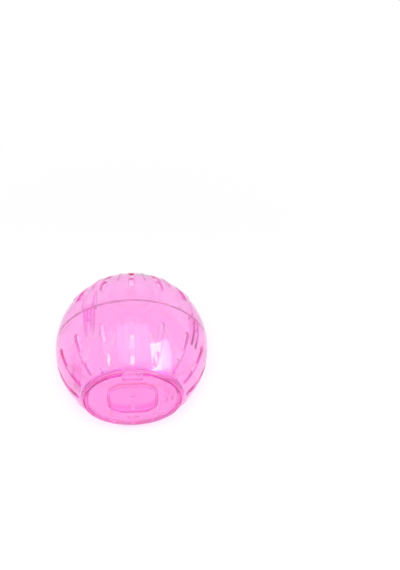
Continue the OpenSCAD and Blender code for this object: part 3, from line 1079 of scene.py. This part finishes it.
def shell_plastic(settings):
    """The plastic of both half shells."""
    name = "moulded_pink_polystyrene"
    return bpy.data.materials.get(name) or moulded_polystyrene(name, settings, settings.shell_tint)


class HAMSTERBALL_OT_door_shell(Operator):
    """Builds the half shell with the doorway"""
    bl_idname = "hamster_ball.door_shell"
    bl_label = "Build the door shell"

    def execute(self, context):
        """Makes the slotted wall, joins the clasps and gussets to it and cuts the door's notches."""
        ball = context.scene.hamster_ball
        shell, doorway, clasps = ball.shell, ball.doorway, ball.clasps
        material = shell_plastic(ball.plastic)
        sections = [door_rim_section(shell), doorway_section(shell, doorway)]
        piece = shell_wall("door_shell_moulding", ball, sections, material)
        fin = (clasps.tongue_width - clasps.fin_width) / 2 - INSET
        for part in (
                slabs("tongues", tongue_section(shell, clasps), clasps.tongue_width),
                slabs("fins", fin_section(shell, clasps), clasps.fin_width, (-fin, fin)),
                slabs("gussets", gusset_section(shell, doorway), doorway.gusset_thickness)):
            combine(piece, at_clasps(part, ball), "UNION")
        combine(piece, tab_notch(ball), "DIFFERENCE")
        combine(piece, hook_notch(ball), "DIFFERENCE")
        finish(piece, DOOR_SIDE, material, sphere_radii(ball))
        stand_for(piece, "door_shell")
        return {"FINISHED"}


class HAMSTERBALL_OT_closed_shell(Operator):
    """Builds the closed half shell with its raised rosette"""
    bl_idname = "hamster_ball.closed_shell"
    bl_label = "Build the closed shell"

    def execute(self, context):
        """Makes the slotted wall and joins the guide ribs and the raised lines to it."""
        ball = context.scene.hamster_ball
        shell, clasps, rosette = ball.shell, ball.clasps, ball.rosette
        material = shell_plastic(ball.plastic)
        sections = [closed_rim_section(shell), *pole_sections(shell, rosette)]
        piece = shell_wall("closed_shell_moulding", ball, sections, material)
        beside = clasps.tongue_width / 2 + clasps.gap + clasps.guide_width / 2
        ribs = slabs("guide_ribs", rib_section(shell, clasps), clasps.guide_width,
                     (-beside, beside), RIB_STEPS)
        combine(piece, at_clasps(ribs, ball), "UNION")
        for first in (0.0, 2 * tau / ball.slots.count):
            combine(piece, petals(ball, first), "UNION")
        combine(piece, pole_rings(rosette), "UNION")
        finish(piece, CLOSED_SIDE, material, sphere_radii(ball))
        stand_for(piece, "closed_shell")
        return {"FINISHED"}


class HAMSTERBALL_OT_door(Operator):
    """Builds the round door with its recess, latch tab and hook"""
    bl_idname = "hamster_ball.door"
    bl_label = "Build the door"

    def execute(self, context):
        """Makes the plate, cuts the latch tab free in it and joins the tab's tip and the hook."""
        ball = context.scene.hamster_ball
        # The door's own material, whose deeper tint carries painted shade as well as the plastic's pink
        material = moulded_polystyrene("moulded_pink_polystyrene_door", ball.plastic, ball.plastic.door_tint_and_shade)
        places = door_places(ball)
        piece = door_plate(ball.door, places)
        combine(piece, tab_slits(ball, places), "DIFFERENCE")
        combine(piece, tab_bend(ball.door, places), "DIFFERENCE")
        for part in (latch_tab(ball, places), *hook_parts(ball, places)):
            combine(piece, part, "UNION")
        finish(piece, DOOR_SIDE, material)
        stand_for(piece, "door")
        return {"FINISHED"}


def any_of(tree, rays, names):
    """1 for a ray of any of the kinds named."""
    found = rays.outputs[names[0]]
    for name in names[1:]:
        found = add_node(tree, "ShaderNodeMath", links={0: found, 1: rays.outputs[name]}, operation="MAXIMUM")
    return found


def aimed(location, target):
    """A matrix that puts a lamp at location and points it at target."""
    turn = (Vector(target) - Vector(location)).to_track_quat("-Z", "Y")
    return Matrix.Translation(location) @ turn.to_matrix().to_4x4()


def add_softbox(name, power, direction, distance, width, height, hidden_from, turn=0.0):
    """A rectangular softbox, seen from the ball in a direction, and hidden from some kinds of rays."""
    lamp = bpy.data.lights.new(name, "AREA")
    lamp.shape = "RECTANGLE"
    lamp.size = width
    lamp.size_y = height
    lamp.energy = power
    softbox = bpy.data.objects.new(name, lamp)
    bpy.context.scene.collection.objects.link(softbox)
    place = aimed(Vector(direction).normalized() * distance, (0, 0, 0))
    softbox.matrix_world = place @ Matrix.Rotation(turn, 4, "Z")
    for rays in hidden_from:
        setattr(softbox, f"visible_{rays}", False)
    return lamp


def mirrored_once(lamp):
    """Makes a lamp show on the ball's near wall alone, brightest at its left, as a window does."""
    lamp.use_nodes = True
    tree = lamp.node_tree
    tree.nodes.clear()
    rays = add_node(tree, "ShaderNodeLightPath")
    near = add_node(tree, "ShaderNodeMath", {1: NEAR_WALL_FACES + 0.5}, {
        0: rays.outputs["Transmission Depth"]}, operation="LESS_THAN")
    pane = add_node(tree, "ShaderNodeNewGeometry")
    across = add_node(tree, "ShaderNodeSeparateXYZ", links={0: pane.outputs["Parametric"]})
    fade = add_node(tree, "ShaderNodeMapRange", {"To Min": WINDOW_LEFT, "To Max": WINDOW_RIGHT}, {
        "Value": across.outputs["X"]})
    strength = add_node(tree, "ShaderNodeMath", links={
        0: near, 1: fade}, operation="MULTIPLY")
    glow = add_node(tree, "ShaderNodeEmission", links={"Strength": strength})
    add_node(tree, "ShaderNodeOutputLight", links={"Surface": glow})


def add_softboxes(settings):
    """The window at the right, the wide sky over the ball and the key lamp over the camera."""
    window = add_softbox(
        "window_softbox", settings.window, direction=(0.66, -0.555, 0.475), distance=0.8,
        width=0.42, height=0.56, hidden_from=("diffuse",), turn=WINDOW_TURN)
    mirrored_once(window)
    add_softbox(
        "sky_softbox", settings.sky, direction=(0.03, -0.47, 0.88), distance=1.2,
        width=1.0, height=1.25, hidden_from=("diffuse", "transmission"))
    add_softbox(
        "key_softbox", settings.key, direction=(0.0, -0.5, 0.87), distance=1.2,
        width=0.5, height=0.5, hidden_from=("glossy", "transmission"))


def matt_white_paper(settings):
    """A matt white sweep of paper, which shows nearly white and keeps the ball's pink shadow."""
    material = empty_material("matt_white_paper")
    tree = material.node_tree
    paper = add_node(tree, "ShaderNodeBsdfDiffuse", {"Color": (*settings.floor_colour, 1)})
    white = add_node(tree, "ShaderNodeEmission", {"Strength": 1.0})
    rays = add_node(tree, "ShaderNodeLightPath")
    place = add_node(tree, "ShaderNodeTexCoord")
    away = add_node(tree, "ShaderNodeVectorMath", links={0: place.outputs["Object"]}, operation="LENGTH")
    least = add_node(tree, "ShaderNodeMapRange", {
        "To Min": settings.white_share, "To Max": settings.camera_share}, {
        "Value": rays.outputs["Is Camera Ray"]})
    reach = add_node(tree, "ShaderNodeMapRange", {
        "From Min": settings.shadow_reach * SHADOW_CORE, "From Max": settings.shadow_reach, "To Max": 1.0}, {
        "Value": away.outputs["Value"], "To Min": least}, interpolation_type="SMOOTHSTEP")
    share = add_node(tree, "ShaderNodeMath", links={
        0: any_of(tree, rays, SEEING_RAYS), 1: reach}, operation="MULTIPLY")
    shown = add_node(tree, "ShaderNodeMixShader", links={
        0: share, 1: paper, 2: white})
    add_node(tree, "ShaderNodeOutputMaterial", links={"Surface": shown})
    return material


def add_floor(settings):
    """The paper under the ball, which reaches past all that the camera sees."""
    bpy.ops.mesh.primitive_plane_add(size=FLOOR_SIZE, location=(0, 0, -BALL_R))
    floor = bpy.context.object
    floor.name = "floor"
    floor.data.transform(floor.matrix_world)
    floor.matrix_world = Matrix.Identity(4)
    floor.data.materials.append(matt_white_paper(settings))


def white_room(settings):
    """A white room, darker overhead, which lights matt surfaces at its own level."""
    world = bpy.data.worlds.new("white_room")
    world.use_nodes = True
    tree = world.node_tree
    tree.nodes.clear()
    place = add_node(tree, "ShaderNodeTexCoord")
    axes = add_node(tree, "ShaderNodeSeparateXYZ", links={0: place.outputs["Generated"]})
    dimming = add_node(tree, "ShaderNodeMapRange", {
        "From Min": DIM_START, "From Max": DIM_END, "To Min": 1.0, "To Max": settings.ceiling}, {
        "Value": axes.outputs["Z"]})
    seen = add_node(tree, "ShaderNodeBackground", {"Color": (1, 1, 1, 1)}, {"Strength": dimming})
    light = add_node(tree, "ShaderNodeBackground", {"Color": (1, 1, 1, 1), "Strength": settings.room})
    rays = add_node(tree, "ShaderNodeLightPath")
    both = add_node(tree, "ShaderNodeMixShader", links={
        0: any_of(tree, rays, SEEING_RAYS), 1: light, 2: seen})
    add_node(tree, "ShaderNodeOutputWorld", links={"Surface": both})
    return world


def add_camera(settings):
    """The camera, which stands and looks as the photograph's did."""
    lens = bpy.data.cameras.new("camera")
    lens.lens = settings.lens
    lens.sensor_width = SENSOR_WIDTH
    camera = bpy.data.objects.new("camera", lens)
    bpy.context.scene.collection.objects.link(camera)
    azimuth, elevation = settings.azimuth, settings.elevation
    place = settings.distance * Vector((
        sin(azimuth) * cos(elevation), -cos(azimuth) * cos(elevation), sin(elevation)))
    turn = (Matrix.Rotation(-settings.heading, 4, "Z")
            @ Matrix.Rotation(pi / 2 - settings.pitch, 4, "X")
            @ Matrix.Rotation(settings.roll, 4, "Z"))
    camera.matrix_world = Matrix.Translation(place) @ turn
    return camera


class HAMSTERBALL_OT_stage(Operator):
    """Sets up the floor, the room, the lamps and the camera"""
    bl_idname = "hamster_ball.stage"
    bl_label = "Set the stage"

    def execute(self, context):
        """Adds the stage and lets rays pass through all of the ball's walls."""
        scene = context.scene
        settings = scene.hamster_ball.stage
        scene.world = white_room(settings)
        add_floor(settings)
        add_softboxes(settings)
        scene.camera = add_camera(settings)
        scene.view_settings.view_transform = "Standard"
        scene.cycles.max_bounces = BOUNCES
        scene.cycles.transmission_bounces = BOUNCES
        scene.cycles.glossy_bounces = BOUNCES
        scene.cycles.transparent_max_bounces = BOUNCES
        return {"FINISHED"}


OPERATORS = (
    HAMSTERBALL_OT_door_shell, HAMSTERBALL_OT_closed_shell, HAMSTERBALL_OT_door, HAMSTERBALL_OT_stage)


class HAMSTERBALL_PT_panel(Panel):
    """Lists the ball's operators and settings"""
    bl_label = "Hamster ball"
    bl_idname = "HAMSTERBALL_PT_panel"
    bl_space_type = "VIEW_3D"
    bl_region_type = "UI"
    bl_category = "Hamster ball"

    def draw(self, context):
        """Draws a button for each operator and a box for each group of settings."""
        for operator in OPERATORS:
            self.layout.operator(operator.bl_idname)
        for group in BallSettings.__annotations__:
            box = self.layout.box()
            box.label(text=group.capitalize())
            settings = getattr(context.scene.hamster_ball, group)
            for name in type(settings).__annotations__:
                box.prop(settings, name)


SETTINGS = (
    ShellSettings, SlotSettings, ClaspSettings, DoorwaySettings, DoorSettings, RosetteSettings,
    PlasticSettings, StageSettings, BallSettings)
CLASSES = SETTINGS + OPERATORS + (HAMSTERBALL_PT_panel,)


def register():
    """Registers the classes and gives the scene its settings."""
    for cls in CLASSES:
        bpy.utils.register_class(cls)
    bpy.types.Scene.hamster_ball = PointerProperty(type=BallSettings)


def unregister():
    """Takes the settings and the classes away again."""
    del bpy.types.Scene.hamster_ball
    for cls in reversed(CLASSES):
        bpy.utils.unregister_class(cls)


def main():
    """Builds the ball and its stage."""
    register()
    bpy.ops.hamster_ball.door_shell()
    bpy.ops.hamster_ball.closed_shell()
    bpy.ops.hamster_ball.door()
    bpy.ops.hamster_ball.stage()


if __name__ == "__main__":
    main()
